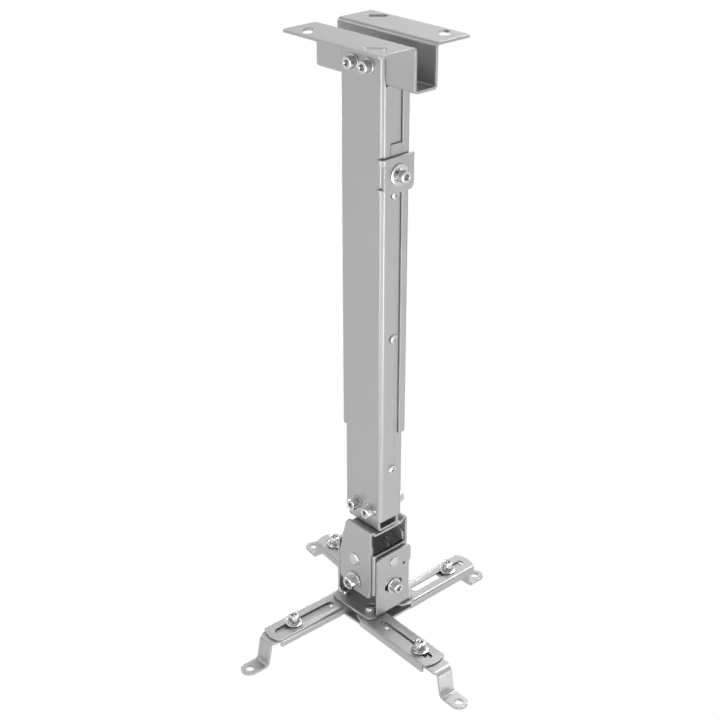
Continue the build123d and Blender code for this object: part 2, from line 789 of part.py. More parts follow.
def foot(name):
    """One foot with its bolt: a strip under the arm's sheet, a sloping riser and a round pad."""
    side_x, side_y, heading, bolt_inset, style = ARMS[name]
    along = (cos(radians(heading)), sin(radians(heading)), 0)
    bolt_at = arm_reach - bolt_inset
    bolt = (side_x * corner_x + bolt_at * along[0], side_y * corner_y + bolt_at * along[1], strip_top)
    plan = Plane(origin=bolt, x_dir=along, z_dir=(0, 0, 1))
    side = Plane(origin=bolt, x_dir=along, z_dir=(along[1], -along[0], 0))
    shoulder = style["riser"] - foot_shoulder
    with BuildPart() as strip:
        with BuildSketch(side):
            with BuildLine():
                FilletPolyline(
                    (-style["tail"], 0),
                    (style["riser"], 0),
                    (style["riser"] + foot_slope, -foot_drop),
                    (style["hole"] + foot_neck / 2, -foot_drop),
                    radius=[foot_bend + foot_sheet, foot_bend],
                )
                offset(amount=foot_sheet, side=Side.RIGHT)
            make_face()
        extrude(amount=foot_width / 2, both=True)
        with BuildSketch(plan):
            with Locations(((shoulder - style["tail"]) / 2, 0)):
                RectangleRounded(shoulder + style["tail"], foot_width, foot_corner)
            Rectangle(style["hole"], foot_neck, align=(Align.MIN, Align.CENTER))
            with Locations((style["hole"], 0)):
                Circle(foot_neck / 2)
        extrude(amount=-foot_drop - foot_sheet, mode=Mode.INTERSECT)
        with BuildSketch(plan):
            Circle(M5["shank"] / 2 + hole_clearance)
            with Locations((style["hole"], 0)):
                Circle(foot_hole / 2)
            if style["tail_hole"] > 0:
                with Locations((-style["tail_hole"], 0)):
                    Circle(tail_hole / 2)
        extrude(amount=-foot_drop - foot_sheet, mode=Mode.SUBTRACT)
    save(strip.part, f"{name}_foot")
    washer_seats = [plan.offset(joint_gap + arm_sheet + joint_gap)]
    spring_seats = raised(washer_seats, M5["washer_height"])
    head_seats = raised(spring_seats, M5["spring_height"])
    wall = joint_gap + arm_sheet + joint_gap + foot_sheet
    under_head = M5["washer_height"] + M5["spring_height"] + wall + M5["nut_height"] + bolt_tip
    rings(f"{name}_foot_washer", washer_seats, M5["washer"], M5["shank"], M5["washer_height"])
    spring_rings(f"{name}_foot_spring_washer", spring_seats, M5)
    cap_screws(f"{name}_foot_bolt", head_seats, M5, under_head)
    nuts(f"{name}_foot_nut", behind(washer_seats, wall), M5)


# Arms and feet, one of each at every corner
for corner in ARMS:
    arm(corner)
    foot(corner)
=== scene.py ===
"""Dresses the projector ceiling mount: softened sheet metal, turned fasteners, finishes and a studio."""
import json
import logging
import math
from dataclasses import dataclass, field
from enum import Enum
from itertools import combinations
from typing import Any, Optional, Sequence, Union

import bmesh
import bpy
from mathutils import Matrix, Vector


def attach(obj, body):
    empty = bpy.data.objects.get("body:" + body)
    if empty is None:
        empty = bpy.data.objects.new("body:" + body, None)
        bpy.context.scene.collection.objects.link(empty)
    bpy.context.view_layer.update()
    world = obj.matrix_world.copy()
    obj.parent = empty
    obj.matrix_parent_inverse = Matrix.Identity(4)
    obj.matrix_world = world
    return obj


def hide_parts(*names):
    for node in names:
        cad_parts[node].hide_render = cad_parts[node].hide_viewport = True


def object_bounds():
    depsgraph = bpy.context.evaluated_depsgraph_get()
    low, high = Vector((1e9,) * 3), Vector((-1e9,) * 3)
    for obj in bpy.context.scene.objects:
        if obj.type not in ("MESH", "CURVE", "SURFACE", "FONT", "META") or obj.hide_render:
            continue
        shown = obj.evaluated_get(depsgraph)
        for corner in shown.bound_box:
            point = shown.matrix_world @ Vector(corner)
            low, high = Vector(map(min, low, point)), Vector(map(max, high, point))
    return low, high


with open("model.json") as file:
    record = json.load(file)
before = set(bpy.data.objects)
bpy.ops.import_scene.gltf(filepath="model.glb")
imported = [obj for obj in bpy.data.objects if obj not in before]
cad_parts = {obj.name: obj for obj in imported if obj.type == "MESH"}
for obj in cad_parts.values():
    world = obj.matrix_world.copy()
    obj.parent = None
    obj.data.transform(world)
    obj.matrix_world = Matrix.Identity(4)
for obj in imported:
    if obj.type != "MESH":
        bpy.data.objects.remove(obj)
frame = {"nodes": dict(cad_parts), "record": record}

CAD_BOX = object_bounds()
BODY_OF = {node: body for body, nodes in frame["record"]["behaviour"]["bodies"].items() for node in nodes}
LOG = logging.getLogger("ceiling_mount")
MM = 0.001
WELD = 0.002 * MM


class Facing(Enum):
    """Which way a fastener's outer end points."""

    OUT_X = "out_x"
    OUT_Y = "out_y"
    IN_X = "in_x"
    IN_Y = "in_y"
    UP = "up"
    DOWN = "down"

    def direction(self, centre: Vector) -> Vector:
        """Unit vector of this facing for a piece with that centre.

        Args:
            centre: Middle of the piece, in metres.

        Returns:
            The direction from the seat to the outer end.
        """
        if self is Facing.UP:
            return Vector((0, 0, 1))
        if self is Facing.DOWN:
            return Vector((0, 0, -1))
        axis = 0 if self in (Facing.OUT_X, Facing.IN_X) else 1
        sign = math.copysign(1.0, centre[axis])
        if self in (Facing.IN_X, Facing.IN_Y):
            sign = -sign
        return Vector([sign if i == axis else 0.0 for i in range(3)])


class Form(Enum):
    """Outline of one row of a turned piece."""

    ROUND = "round"
    HEXAGON = "hexagon"
    KNURLED = "knurled"


Number = Union["Value", float, int]


class Value:
    """A node socket that carries a number and takes part in Python arithmetic."""

    def __init__(self, graph: "Graph", socket: bpy.types.NodeSocket) -> None:
        """Wraps a socket of a graph."""
        self.graph = graph
        self.socket = socket

    def __add__(self, other: Number) -> "Value":
        """Sum."""
        return self.graph.math("ADD", self, other)

    def __radd__(self, other: Number) -> "Value":
        """Sum, the other way round."""
        return self.graph.math("ADD", other, self)

    def __sub__(self, other: Number) -> "Value":
        """Difference."""
        return self.graph.math("SUBTRACT", self, other)

    def __rsub__(self, other: Number) -> "Value":
        """Difference, the other way round."""
        return self.graph.math("SUBTRACT", other, self)

    def __mul__(self, other: Number) -> "Value":
        """Product."""
        return self.graph.math("MULTIPLY", self, other)

    def __rmul__(self, other: Number) -> "Value":
        """Product, the other way round."""
        return self.graph.math("MULTIPLY", other, self)

    def __truediv__(self, other: Number) -> "Value":
        """Quotient."""
        return self.graph.math("DIVIDE", self, other)

    def __rtruediv__(self, other: Number) -> "Value":
        """Quotient, the other way round."""
        return self.graph.math("DIVIDE", other, self)

    def __mod__(self, other: Number) -> "Value":
        """Remainder, always positive."""
        return self.graph.math("FLOORED_MODULO", self, other)

    def __neg__(self) -> "Value":
        """The number with its sign changed."""
        return self.graph.math("MULTIPLY", self, -1.0)


class Graph:
    """A node tree with one way to add a node and feed its sockets."""

    def __init__(self, tree: bpy.types.NodeTree) -> None:
        """Wraps a node tree."""
        self.tree = tree

    def feed(self, socket: bpy.types.NodeSocket, value: Any) -> None:
        """Links a value or a socket to an input, or sets the input's own value.

        Args:
            socket: The input.
            value: A Value, an output socket or a plain value.
        """
        if isinstance(value, Value):
            self.tree.links.new(value.socket, socket)
        elif isinstance(value, bpy.types.NodeSocket):
            self.tree.links.new(value, socket)
        else:
            socket.default_value = value

    def node(
        self, kind: str, settings: Optional[dict[str, Any]] = None, inputs: Optional[dict[Any, Any]] = None
    ) -> bpy.types.Node:
        """Adds a node, sets it up and feeds it.

        Args:
            kind: Blender's type name of the node.
            settings: Attributes to set first.
            inputs: Sockets by name or number, with the value or link of each.

        Returns:
            The new node.
        """
        made = self.tree.nodes.new(kind)
        for name, value in (settings or {}).items():
            setattr(made, name, value)
        for key, value in (inputs or {}).items():
            self.feed(made.inputs[key], value)
        return made

    def value(self, kind: str, output: Any = 0, **given: Any) -> Value:
        """Adds a node and wraps one of its outputs as a number.

        Args:
            kind: Blender's type name of the node.
            output: Name or number of the output.
            given: Settings and inputs of the node.

        Returns:
            The output.
        """
        return Value(self, self.node(kind, **given).outputs[output])

    def math(self, operation: str, first: Number, second: Number = 0.0) -> Value:
        """Adds a Math node.

        Args:
            operation: Blender's name of the operation.
            first: First number.
            second: Second number, for operations that take two.

        Returns:
            The result.
        """
        return self.value("ShaderNodeMath", settings={"operation": operation}, inputs={0: first, 1: second})


@dataclass(frozen=True)
class Finish:
    """A surface finish with fine variation over the piece.

    Attributes:
        name: Name of the material, which no material of the frame may have.
        slot: Material slot of the record that it belongs to; not used.
        colour: Linear base colour.
        metallic: Share of bare metal in the look.
        roughness: Middle of the roughness.
        roughness_spread: How far the roughness varies.
        tone_spread: How far the colour varies, as a share.
        grain: Size of the fine grain, in metres.
        cloud: Size of the broad clouds, in metres.
        relief: Depth of the fine surface relief, in metres.
    """

    GRAIN_NOISE = {"Detail": 3.0, "Roughness": 0.6}
    CLOUD_NOISE = {"Detail": 2.0, "Roughness": 0.5}
    BUMP_STRENGTH = 0.35

    name: str
    slot: str
    colour: tuple[float, float, float]
    metallic: float
    roughness: float
    roughness_spread: float = 0.06
    tone_spread: float = 0.05
    grain: float = 0.5 * MM
    cloud: float = 22.0 * MM
    relief: float = 0.002 * MM

    def material(self) -> bpy.types.Material:
        """Builds the material, or returns it if it is there.

        Returns:
            The material.
        """
        known = bpy.data.materials.get(self.name)
        if known is not None:
            return known
        made = bpy.data.materials.new(self.name)
        made.use_nodes = True
        made.node_tree.nodes.clear()
        graph = Graph(made.node_tree)
        place = graph.node("ShaderNodeTexCoord").outputs["Object"]
        grain = graph.value(
            "ShaderNodeTexNoise",
            inputs={"Vector": place, "Scale": 1.0 / self.grain, **self.GRAIN_NOISE},
        )
        cloud = graph.value(
            "ShaderNodeTexNoise",
            inputs={"Vector": place, "Scale": 1.0 / self.cloud, **self.CLOUD_NOISE},
        )
        unevenness = grain + cloud - 1.0
        tone = 1.0 + unevenness * self.tone_spread
        shade = graph.node(
            "ShaderNodeVectorMath",
            {"operation": "SCALE"},
            {0: self.colour, "Scale": tone},
        )
        rough = self.roughness + unevenness * self.roughness_spread
        bump = graph.node(
            "ShaderNodeBump",
            inputs={"Strength": self.BUMP_STRENGTH, "Distance": self.relief, "Height": grain},
        )
        surface = graph.node(
            "ShaderNodeBsdfPrincipled",
            inputs={
                "Base Color": shade.outputs[0],
                "Metallic": self.metallic,
                "Roughness": rough,
                "Normal": bump.outputs[0],
            },
        )
        graph.node("ShaderNodeOutputMaterial", inputs={"Surface": surface.outputs[0]})
        made.diffuse_color = (*self.colour, 1.0)
        return made


SILVER_PAINT = Finish("satin_silver", "silver_paint", (0.459, 0.468, 0.463), metallic=0.4, roughness=0.38)
ZINC_PLATE = Finish(
    "zinc_plate",
    "zinc_fastener",
    (0.58, 0.59, 0.58),
    metallic=1.0,
    roughness=0.18,
    roughness_spread=0.1,
    tone_spread=0.08,
    grain=0.8 * MM,
    cloud=6.0 * MM,
    relief=0.004 * MM,
)
RIVET_STEEL = Finish(
    "rivet_steel",
    "pivot_steel",
    (0.55, 0.56, 0.55),
    metallic=1.0,
    roughness=0.3,
    roughness_spread=0.12,
    tone_spread=0.1,
    grain=0.6 * MM,
    cloud=5.0 * MM,
    relief=0.008 * MM,
)


@dataclass(frozen=True)
class Row:
    """One ring of a turned piece.

    Attributes:
        radius: Distance from the axis, or half the width across flats of a hexagon.
        height: Place along the axis, from the seat.
        form: Outline of the ring.
    """

    radius: Number
    height: Number
    form: Form = Form.ROUND


class TurnedTree(Graph):
    """A Geometry Nodes tree that turns a profile and sets a copy of it on every seat."""

    KNURL_DEPTH = 0.03

    def __init__(self, name: str, seed: int) -> None:
        """Starts a tree with seats in and pieces out.

        Args:
            name: Name of the tree.
            seed: Seed of each copy's turn about its own axis.
        """
        super().__init__(bpy.data.node_groups.new(name, "GeometryNodeTree"))
        self.seed = seed
        self.interface = self.tree.interface
        self.interface.new_socket("Seats", in_out="INPUT", socket_type="NodeSocketGeometry")
        self.interface.new_socket("Material", in_out="INPUT", socket_type="NodeSocketMaterial")
        self.interface.new_socket("Pieces", in_out="OUTPUT", socket_type="NodeSocketGeometry")
        self.start = self.node("NodeGroupInput")

    def size(self, name: str) -> Value:
        """Adds a named size to the tree's inputs.

        Args:
            name: Name of the size.

        Returns:
            The size.
        """
        self.interface.new_socket(name, in_out="INPUT", socket_type="NodeSocketFloat")
        return Value(self, self.start.outputs[name])

    def pick(self, index: Value, options: Sequence[Number]) -> Value:
        """Chooses one of several numbers by a row's index.

        Args:
            index: The row.
            options: One number for each row.

        Returns:
            The chosen number.
        """
        switch = self.node("GeometryNodeIndexSwitch", {"data_type": "FLOAT"})
        while len(switch.index_switch_items) < len(options):
            switch.index_switch_items.new()
        self.feed(switch.inputs["Index"], index)
        for place, option in enumerate(options):
            self.feed(switch.inputs[place + 1], option)
        return Value(self, switch.outputs[0])

    def turned(self, rows: Sequence[Row], columns: int) -> bpy.types.NodeSocket:
        """Turns a profile about the seat's normal.

        Args:
            rows: Rings from one end of the profile to the other.
            columns: Steps round the axis, a multiple of twelve.

        Returns:
            The geometry.
        """
        grid = self.node(
            "GeometryNodeMeshGrid",
            inputs={"Size X": 1.0, "Size Y": 1.0, "Vertices X": columns + 1, "Vertices Y": len(rows)},
        )
        index = self.value("GeometryNodeInputIndex")
        row = index % len(rows)
        column = self.math("FLOOR", (index + 0.5) / len(rows))
        turn = column * (2 * math.pi / columns)
        sixth = math.pi / 3
        across = (turn + sixth / 2) % sixth - sixth / 2
        flat = self.pick(row, [1.0 if r.form is Form.HEXAGON else 0.0 for r in rows])
        knurl = self.pick(row, [1.0 if r.form is Form.KNURLED else 0.0 for r in rows])
        radius = self.pick(row, [r.radius for r in rows])
        height = self.pick(row, [r.height for r in rows])
        reach = radius * (1 + flat * (1 / self.math("COSINE", across) - 1))
        reach = reach * (1 - knurl * (column % 2) * self.KNURL_DEPTH)
        place = self.node(
            "ShaderNodeCombineXYZ",
            inputs={0: reach * self.math("COSINE", turn), 1: reach * self.math("SINE", turn), 2: height},
        )
        moved = self.node(
            "GeometryNodeSetPosition",
            inputs={"Geometry": grid.outputs["Mesh"], "Position": place.outputs[0]},
        )
        welded = self.node(
            "GeometryNodeMergeByDistance",
            inputs={"Geometry": moved.outputs[0], "Distance": WELD},
        )
        return welded.outputs[0]

    def joined(self, *parts: bpy.types.NodeSocket) -> bpy.types.NodeSocket:
        """Joins several geometries into one.

        Args:
            parts: The geometries.

        Returns:
            The joined geometry.
        """
        join = self.node("GeometryNodeJoinGeometry")
        for part in parts:
            self.tree.links.new(part, join.inputs[0])
        return join.outputs[0]

    def finish(self, piece: bpy.types.NodeSocket) -> bpy.types.GeometryNodeTree:
        """Sets the piece on every seat, turned to face as the seat does.

        Args:
            piece: Geometry of one piece on its own axis.

        Returns:
            The finished tree.
        """
        facing = self.node(
            "GeometryNodeInputNamedAttribute", {"data_type": "FLOAT_VECTOR"}, {"Name": "facing"}
        )
        spin = self.node(
            "FunctionNodeRandomValue",
            {"data_type": "FLOAT"},
            {"Min": 0.0, "Max": 2 * math.pi, "Seed": self.seed},
        )
        clock = self.node(
            "FunctionNodeAxisAngleToRotation", inputs={"Axis": (0, 0, 1), "Angle": spin.outputs["Value"]}
        )
        aim = self.node(
            "FunctionNodeAlignRotationToVector", {"axis": "Z"}, {"Vector": facing.outputs["Attribute"]}
        )
        turn = self.node(
            "FunctionNodeRotateRotation",
            {"rotation_space": "LOCAL"},
            {"Rotation": aim.outputs[0], "Rotate By": clock.outputs[0]},
        )
        copies = self.node(
            "GeometryNodeInstanceOnPoints",
            inputs={"Points": self.start.outputs["Seats"], "Instance": piece, "Rotation": turn.outputs[0]},
        )
        real = self.node("GeometryNodeRealizeInstances", inputs={"Geometry": copies.outputs[0]})
        coloured = self.node(
            "GeometryNodeSetMaterial",
            inputs={"Geometry": real.outputs[0], "Material": self.start.outputs["Material"]},
        )
        self.node("NodeGroupOutput", inputs={"Pieces": coloured.outputs[0]})
        return self.tree


COLUMNS = 48
SHANK_COLUMNS = 24
THREAD_STEPS = 24


def cap_screw_tree() -> bpy.types.GeometryNodeTree:
    """Socket cap screw: knurled head, hexagon socket and a threaded shank.

    Returns:
        The tree.
    """
    tree = TurnedTree("cap_screw", seed=5)
    head, height, key = tree.size("Head Radius"), tree.size("Head Height"), tree.size("Key Half Width")
    shank, length, pitch = tree.size("Shank Radius"), tree.size("Shank Length"), tree.size("Pitch")
    rim = head * 0.09
    depth = height * 0.6
    body = tree.turned(
        [
            Row(0.0, 0.0),
            Row(head - rim, 0.0),
            Row(head, rim, Form.KNURLED),
            Row(head, height - rim * 1.6, Form.KNURLED),
            Row(head - rim * 0.4, height - rim * 0.5),
            Row(head - rim * 1.4, height),
            Row(key * 1.18, height),
            Row(key * 1.02, height - rim * 0.45, Form.HEXAGON),
            Row(key, height - depth, Form.HEXAGON),
            Row(0.0, height - depth * 1.15),
        ],
        COLUMNS,
    )
    plain = 0.12
    threaded = 0.84
    groove = pitch * 0.45
    thread = [Row(0.0, 0.0), Row(shank, 0.0), Row(shank, -length * plain)]
    for step in range(1, THREAD_STEPS):
        level = -length * (plain + threaded * step / THREAD_STEPS)
        thread.append(Row(shank - groove if step % 2 else shank, level))
    thread += [Row(shank * 0.8, -length), Row(0.0, -length)]
    return tree.finish(tree.joined(body, tree.turned(thread, SHANK_COLUMNS)))


def washer_tree() -> bpy.types.GeometryNodeTree:
    """Flat washer with rolled edges.

    Returns:
        The tree.
    """
    tree = TurnedTree("washer", seed=7)
    outside, inside, height = tree.size("Outer Radius"), tree.size("Inner Radius"), tree.size("Height")
    soft = height * 0.22
    rows = [
        Row(inside, soft),
        Row(inside, height - soft),
        Row(inside + soft, height),
        Row(outside - soft, height),
        Row(outside - soft * 0.3, height - soft * 0.3),
        Row(outside, height - soft),
        Row(outside, soft),
        Row(outside - soft, 0.0),
        Row(inside + soft, 0.0),
        Row(inside, soft),
    ]
    return tree.finish(tree.turned(rows, COLUMNS))


def spring_washer_tree() -> bpy.types.GeometryNodeTree:
    """Split spring washer, a short turn of square wire.

    Returns:
        The tree.
    """
    tree = TurnedTree("spring_washer", seed=11)
    outside, inside, height = tree.size("Outer Radius"), tree.size("Inner Radius"), tree.size("Height")
    wire = height * 0.8
    turns = 0.95
    middle = (outside + inside) / 2
    spiral = tree.node(
        "GeometryNodeCurveSpiral",
        inputs={
            "Resolution": COLUMNS,
            "Rotations": turns,
            "Start Radius": middle,
            "End Radius": middle,
            "Height": height - wire,
        },
    )
    upright = tree.node(
        "GeometryNodeSetCurveNormal", {"mode": "Z_UP"}, {"Curve": spiral.outputs[0]}
    )
    section = tree.node(
        "GeometryNodeCurvePrimitiveQuadrilateral",
        inputs={"Width": outside - inside, "Height": wire},
    )
    wound = tree.node(
        "GeometryNodeCurveToMesh",
        inputs={"Curve": upright.outputs[0], "Profile Curve": section.outputs[0], "Fill Caps": True},
    )
    lift = tree.node("ShaderNodeCombineXYZ", inputs={2: wire / 2})
    raised = tree.node(
        "GeometryNodeSetPosition", inputs={"Geometry": wound.outputs[0], "Offset": lift.outputs[0]}
    )
    return tree.finish(raised.outputs[0])


def nut_tree() -> bpy.types.GeometryNodeTree:
    """Hexagon nut with chamfered corners and a countersunk bore.

    Returns:
        The tree.
    """
    tree = TurnedTree("nut", seed=13)
    half, bore, height = tree.size("Half Width"), tree.size("Bore Radius"), tree.size("Height")
    cone = height * 0.12
    rows = [
        Row(bore, cone),
        Row(bore, height - cone),
        Row(bore + cone, height),
        Row(half * 0.96, height),
        Row(half, height - cone, Form.HEXAGON),
        Row(half, cone, Form.HEXAGON),
        Row(half * 0.96, 0.0),
        Row(bore + cone, 0.0),
        Row(bore, cone),
    ]
    return tree.finish(tree.turned(rows, COLUMNS))


def rivet_tree() -> bpy.types.GeometryNodeTree:
    """Pivot rivet with a flat head and a closed tail.

    Returns:
        The tree.
    """
    tree = TurnedTree("rivet", seed=17)
    head, height, tail = tree.size("Head Radius"), tree.size("Head Height"), tree.size("Tail Radius")
    shank, grip = tree.size("Shank Radius"), tree.size("Grip")
    rows = [
        Row(0.0, height * 0.9),
        Row(head * 0.62, height),
        Row(head * 0.88, height * 0.94),
        Row(head * 0.97, height * 0.7),
        Row(head, height * 0.35),
        Row(head, 0.0),
        Row(shank, 0.0),
        Row(shank, -grip),
        Row(tail, -grip),
        Row(tail * 0.97, -grip - height * 0.8),
        Row(tail * 0.85, -grip - height),
        Row(0.0, -grip - height),
    ]
    return tree.finish(tree.turned(rows, COLUMNS))


def pan_screw_tree() -> bpy.types.GeometryNodeTree:
    """Pan-head screw with a cross recess.

    Returns:
        The tree.
    """
    tree = TurnedTree("pan_screw", seed=19)
    head, height, recess = tree.size("Head Radius"), tree.size("Head Height"), tree.size("Recess Length")
    shank, length = tree.size("Shank Radius"), tree.size("Shank Length")
    dome = tree.turned(
        [
            Row(0.0, height),
            Row(head * 0.45, height * 0.97),
            Row(head * 0.75, height * 0.84),
            Row(head * 0.94, height * 0.6),
            Row(head, height * 0.3),
            Row(head * 0.98, 0.0),
            Row(shank, 0.0),
            Row(shank, -length * 0.9),
            Row(shank * 0.75, -length),
            Row(0.0, -length),
        ],
        COLUMNS,
    )
    blades = []
    slot = recess * 0.28
    for along, wide in ((recess, slot), (slot, recess)):
        extent = tree.node("ShaderNodeCombineXYZ", inputs={0: along, 1: wide, 2: height})
        blade = tree.node("GeometryNodeMeshCube", inputs={"Size": extent.outputs[0]})
        lift = tree.node("ShaderNodeCombineXYZ", inputs={2: height * 1.05})
        blades.append(
            tree.node(
                "GeometryNodeSetPosition",
                inputs={"Geometry": blade.outputs["Mesh"], "Offset": lift.outputs[0]},
            ).outputs[0]
        )
    cut = tree.node("GeometryNodeMeshBoolean", {"operation": "DIFFERENCE"}, {"Mesh 1": dome})
    for blade in blades:
        tree.tree.links.new(blade, cut.inputs["Mesh 2"])
    return tree.finish(cut.outputs["Mesh"])


class Turned(Enum):
    """The kinds of turned piece."""

    CAP_SCREW = "cap_screw"
    WASHER = "washer"
    SPRING_WASHER = "spring_washer"
    NUT = "nut"
    RIVET = "rivet"
    PAN_SCREW = "pan_screw"

    def tree(self) -> bpy.types.GeometryNodeTree:
        """The kind's tree, built when first asked for.

        Returns:
            The tree.
        """
        known = bpy.data.node_groups.get(self.value)
        makers = {
            Turned.CAP_SCREW: cap_screw_tree,
            Turned.WASHER: washer_tree,
            Turned.SPRING_WASHER: spring_washer_tree,
            Turned.NUT: nut_tree,
            Turned.RIVET: rivet_tree,
            Turned.PAN_SCREW: pan_screw_tree,
        }
        return known if known is not None else makers[self]()


@dataclass(frozen=True)
class Thread:
    """Standard sizes of one thread, in metres.

    Attributes:
        shank: Diameter of the shank.
        head_height: Height of a cap screw's head.
        key: Width of the hexagon key.
        pitch: Distance from turn to turn.
    """

    shank: float
    head_height: float
    key: float
    pitch: float


M5 = Thread(5.0 * MM, 5.0 * MM, 4.0 * MM, 0.8 * MM)
M6 = Thread(6.0 * MM, 6.0 * MM, 5.0 * MM, 1.0 * MM)


def solids(node: str) -> list[tuple[Vector, Vector]]:
    """Finds the separate solids of a CAD node.

    Args:
        node: Name of the node.

    Returns:
        Lowest and highest corner of each solid.
    """
    work = bmesh.new()
    work.from_mesh(frame["nodes"][node].data)
    bmesh.ops.remove_doubles(work, verts=work.verts, dist=WELD)
    waiting = set(work.verts)
    boxes = []
    while waiting:
        reached = [waiting.pop()]
        for vertex in reached:
            for edge in vertex.link_edges:
                other = edge.other_vert(vertex)
                if other in waiting:
                    waiting.discard(other)
                    reached.append(other)
        spans = [[v.co[i] for v in reached] for i in range(3)]
        boxes.append((Vector([min(s) for s in spans]), Vector([max(s) for s in spans])))
    work.free()
    return sorted(boxes, key=lambda box: tuple(box[0]))


def adopt(piece: bpy.types.Object, node: str) -> bpy.types.Object:
    """Lets a piece stand for a CAD node: puts it on the node's body and hides the node.

    Args:
        piece: The finished object.
        node: Name of the node.

    Returns:
        The piece.
    """
    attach(piece, BODY_OF[node])
    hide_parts(node)
    LOG.info("%s on %s: %d faces", piece.name, BODY_OF[node], len(piece.data.polygons))
    return piece


def plain_mesh(holder: bpy.types.Object, name: str) -> bpy.types.Object:
    """Turns an object with modifiers into a plain mesh object.

    Args:
        holder: Object to evaluate and remove.
        name: Name of the new object.

    Returns:
        The new object, linked to the scene.
    """
    graph = bpy.context.evaluated_depsgraph_get()
    mesh = bpy.data.meshes.new_from_object(holder.evaluated_get(graph), depsgraph=graph)
    mesh.name = name
    bpy.data.objects.remove(holder)
    made = bpy.data.objects.new(name, mesh)
    bpy.context.scene.collection.objects.link(made)
    return made


@dataclass
class SubAssembly:
    """A group of pieces that is built together.

    Attributes:
        edge: Width of the rounding on sheet edges.
        crease: Angle above which an edge is rounded.
    """

    ROUNDING_STEPS = 3
    ROOM = 3
    CORNER_TURN = -0.8
    ACUTE_TURN = 0.6
    FLAT_ANGLE = math.radians(0.4)
    SMOOTH_ANGLE = math.radians(32)
    FLAT_WEIGHT = 100
    WASHER_EASE = 1.06
    BORE_EASE = 1.02

    edge: float = 0.36 * MM
    crease: float = math.radians(38)

    def mark_edges(self, work: bmesh.types.BMesh) -> None:
        """Marks the sharp edges that have room for a rounding.

        The turn at a vertex is the cosine between two sharp edges, -1 where they run straight on.

        Args:
            work: Mesh of a folded piece.
        """
        weight = work.edges.layers.float.new("bevel_weight_edge")
        sharp = {e for e in work.edges if e.is_manifold and e.calc_face_angle() > self.crease}
        corners, tight = set(), set()
        for vert in work.verts:
            ways = [(e.other_vert(vert).co - vert.co).normalized() for e in vert.link_edges if e in sharp]
            turns = [first.dot(second) for first, second in combinations(ways, 2)]
            if len(ways) > 2 or max(turns, default=-1.0) > self.CORNER_TURN:
                corners.add(vert)
            if max(turns, default=-1.0) > self.ACUTE_TURN:
                tight.add(vert)
        for edge in sharp:
            if edge.calc_length() < self.ROOM * self.edge and corners.issuperset(edge.verts):
                tight.update(edge.verts)
        for edge in sharp:
            edge[weight] = 0.0 if tight.intersection(edge.verts) else 1.0

    def sheet(self, node: str, finish: Finish = SILVER_PAINT) -> bpy.types.Object:
        """Makes a folded piece with softened edges from its CAD node.

        Args:
            node: Name of the node.
            finish: Finish of the piece.

        Returns:
            The piece.
        """
        work = bmesh.new()
        work.from_mesh(frame["nodes"][node].data)
        bmesh.ops.remove_doubles(work, verts=work.verts, dist=WELD)
        bmesh.ops.dissolve_limit(
            work, angle_limit=self.FLAT_ANGLE, verts=work.verts, edges=work.edges, delimit={"NORMAL"}
        )
        self.mark_edges(work)
        mesh = bpy.data.meshes.new(f"{node}_edges")
        work.to_mesh(mesh)
        work.free()
        mesh.materials.clear()
        mesh.materials.append(finish.material())
        mesh.shade_smooth()
        holder = bpy.data.objects.new(f"{node}_holder", mesh)
        bpy.context.scene.collection.objects.link(holder)
        bevel = holder.modifiers.new("softened_edges", "BEVEL")
        bevel.width = self.edge
        bevel.segments = self.ROUNDING_STEPS
        bevel.limit_method = "WEIGHT"
        bevel.use_clamp_overlap = False
        even = holder.modifiers.new("even_flats", "WEIGHTED_NORMAL")
        even.mode = "FACE_AREA"
        even.weight = self.FLAT_WEIGHT
        return adopt(plain_mesh(holder, f"{node}_sheet"), node)

    def turned(
        self,
        node: str,
        kind: Turned,
        facing: Facing,
        sizes: dict[str, float],
        seat_height: float,
        finish: Finish = ZINC_PLATE,
    ) -> bpy.types.Object:
        """Makes a group of turned pieces, one on each solid of a CAD node.

        Args:
            node: Name of the node.
            kind: Kind of turned piece.
            facing: Which way the pieces point.
            sizes: Named inputs of the kind's tree.
            seat_height: Distance from the inner end of a solid to the seat.
            finish: Finish of the pieces.

        Returns:
            The group as one object.
        """
        seats, directions = [], []
        for low, high in solids(node):
            centre = (low + high) / 2
            direction = facing.direction(centre)
            length = abs((high - low).dot(direction))
            seats.append(centre + direction * (seat_height - length / 2))
            directions.append(direction)
        points = bpy.data.meshes.new(f"{node}_seats")
        points.from_pydata(seats, [], [])
        attribute = points.attributes.new("facing", "FLOAT_VECTOR", "POINT")
        for place, direction in enumerate(directions):
            attribute.data[place].vector = direction
        holder = bpy.data.objects.new(f"{node}_holder", points)
        bpy.context.scene.collection.objects.link(holder)
        modifier = holder.modifiers.new(kind.value, "NODES")
        modifier.node_group = kind.tree()
        inputs = [s for s in modifier.node_group.interface.items_tree if s.in_out == "INPUT"]
        sockets = {s.name: s.identifier for s in inputs}
        modifier[sockets["Material"]] = finish.material()
        for name, value in sizes.items():
            modifier[sockets[name]] = value
        piece = plain_mesh(holder, f"{node}_turned")
        work = bmesh.new()
        work.from_mesh(piece.data)
        bmesh.ops.recalc_face_normals(work, faces=work.faces)
        work.to_mesh(piece.data)
        work.free()
        piece.data.shade_smooth()
        piece.data.set_sharp_from_angle(angle=self.SMOOTH_ANGLE)
        return adopt(piece, node)

    @staticmethod
    def span(node: str, facing: Facing) -> tuple[float, float]:
        """Length along the axis and radius across it of a node's first solid.

        Args:
            node: Name of the node.
            facing: Axis of the piece.

        Returns:
            The length and the radius.
        """
        low, high = solids(node)[0]
        direction = facing.direction((low + high) / 2)
        axis = max(range(3), key=lambda i: abs(direction[i]))
        extent = high - low
        return extent[axis], max(extent[i] for i in range(3) if i != axis) / 2

